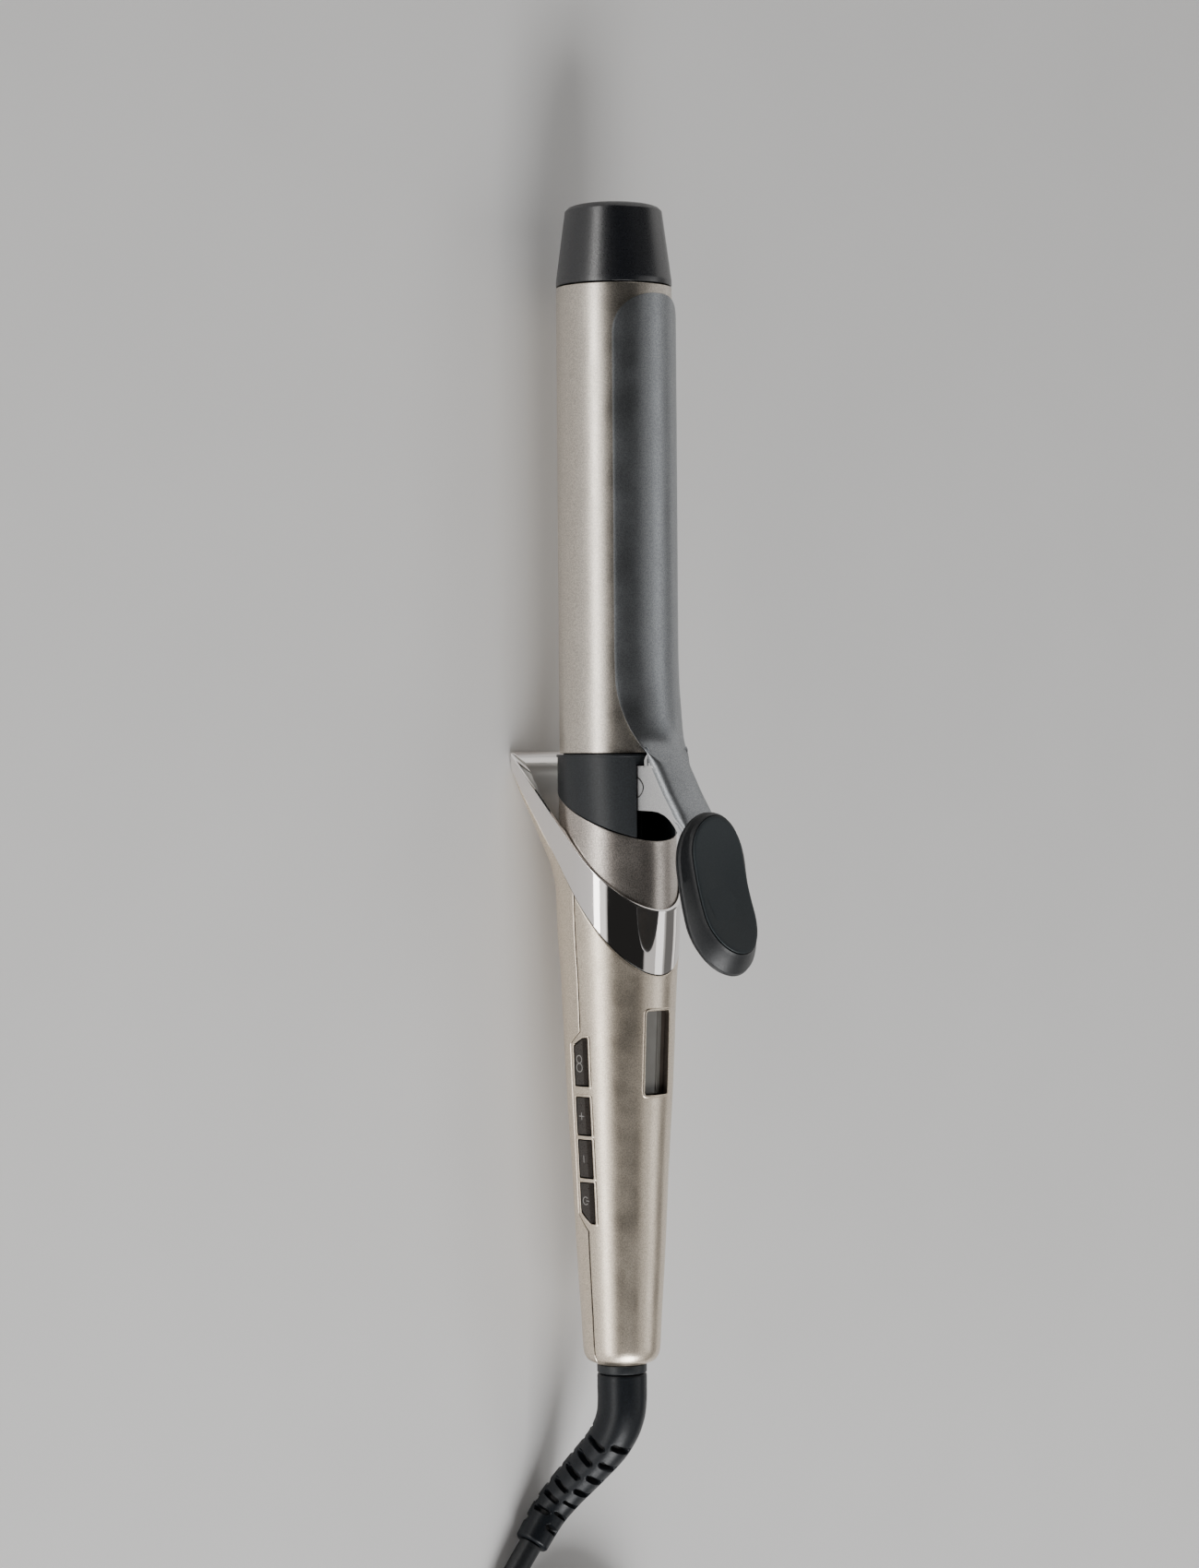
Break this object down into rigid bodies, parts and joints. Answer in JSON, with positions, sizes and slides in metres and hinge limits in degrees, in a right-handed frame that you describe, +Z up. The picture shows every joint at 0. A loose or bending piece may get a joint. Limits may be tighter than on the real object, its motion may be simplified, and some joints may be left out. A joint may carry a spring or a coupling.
{
  "type": "curling iron",
  "caption": "Clip curling iron with a round barrel, spring clip and thumb pad, slanted chrome heel, tapered handle with display and buttons, and a swivel cord tied in a hank.",
  "frame": {"origin": "on the surface the iron lies on, under the middle of the iron without its cord", "axes": "+X along the iron from the cool tip to the cord, +Z up through the thumb pad, buttons on the -Y side"},
  "size_m": [0.5771, 0.0586, 0.0728],
  "materials": {
    "barrel_silver": "satin metallic coating with fine sparkle",
    "clip_silver": "cool satin metallic coating",
    "ring_silver": "satin metallic coating, coarser sparkle",
    "chrome": "polished, slightly warm",
    "champagne": "metallic champagne lacquer, satin",
    "black_moulding": "fine moulded texture",
    "boot_rubber": "matte",
    "cord_rubber": "matte",
    "tie_strap": "woven strap",
    "pad_soft_touch": "soft-touch matte",
    "display_lens": "smoked, gloss",
    "button_gloss": "gloss",
    "aluminium": "extruded",
    "steel": "plain",
    "brass": "plain",
    "plug_nickel": "nickel-plated brass",
    "ceramic": "matte white ceramic or moulding",
    "circuit_board": "solder mask",
    "red_wire": "silicone sleeve",
    "white_wire": "silicone sleeve"
  },
  "bodies": {
    "handle": {"barrel": "barrel_silver", "cool_tip": "black_moulding", "ptc_heater": "ceramic", "heater_block_upper": "aluminium", "heater_block_lower": "aluminium", "temperature_sensor": "ceramic", "thermal_fuse": "steel", "heater_lead_live": "red_wire", "heater_lead_neutral": "white_wire", "sensor_lead": "white_wire", "barrel_seat": "black_moulding", "clip_pivot_pin": "steel", "clip_spring": "steel", "barrel_screw_upper": "steel", "barrel_screw_lower": "steel", "inner_ring": "ring_silver", "heel_band": "chrome", "handle_upper_shell": "champagne", "handle_lower_shell": "champagne", "shell_screw_1": "steel", "shell_screw_2": "steel", "display_lens": "display_lens", "lcd_module": "ceramic", "circuit_board": "circuit_board", "power_triac": "black_moulding", "dropper_capacitor": "red_wire", "tact_switch_1": "black_moulding", "tact_switch_2": "black_moulding", "tact_switch_3": "black_moulding", "tact_switch_4": "black_moulding", "contact_block": "black_moulding", "cord_lead": "cord_rubber", "cord_tail": "cord_rubber", "cord_hank": "cord_rubber", "cord_tie": "tie_strap", "plug_body": "black_moulding", "plug_pin_live": "plug_nickel", "plug_pin_neutral": "plug_nickel"},
    "clip": {"clip": "clip_silver", "thumb_pad_base": "black_moulding", "thumb_pad_face": "pad_soft_touch"},
    "button_mode": {"button_mode": "button_gloss"},
    "button_plus": {"button_plus": "button_gloss"},
    "button_minus": {"button_minus": "button_gloss"},
    "button_power": {"button_power": "button_gloss"},
    "cord_swivel": {"swivel_collar": "black_moulding", "slip_ring_live": "brass", "slip_ring_neutral": "brass", "cord_boot": "boot_rubber"}
  },
  "joints": [
    {"name": "clip_hinge", "type": "hinge", "parent": "handle", "child": "clip", "pos_m": [0.0008, 0, 0.0344], "axis": [0, 1, 0], "range_deg": [0, 22], "stiffness_Nm_per_rad": 0.25, "springref_deg": -34.38},
    {"name": "button_mode_press", "type": "slide", "parent": "handle", "child": "button_mode", "axis": [0, 1, 0], "range_m": [0, 0.0006], "stiffness_N_per_m": 800, "springref_m": -0.0005},
    {"name": "button_plus_press", "type": "slide", "parent": "handle", "child": "button_plus", "axis": [0, 1, 0], "range_m": [0, 0.0006], "stiffness_N_per_m": 800, "springref_m": -0.0005},
    {"name": "button_minus_press", "type": "slide", "parent": "handle", "child": "button_minus", "axis": [0, 1, 0], "range_m": [0, 0.0006], "stiffness_N_per_m": 800, "springref_m": -0.0005},
    {"name": "button_power_press", "type": "slide", "parent": "handle", "child": "button_power", "axis": [0, 1, 0], "range_m": [0, 0.0006], "stiffness_N_per_m": 800, "springref_m": -0.0005},
    {"name": "cord_swivel_turn", "type": "hinge", "parent": "handle", "child": "cord_swivel", "pos_m": [0.1602, 0, 0.0254], "axis": [1, 0, 0], "continuous": true}
  ]
}
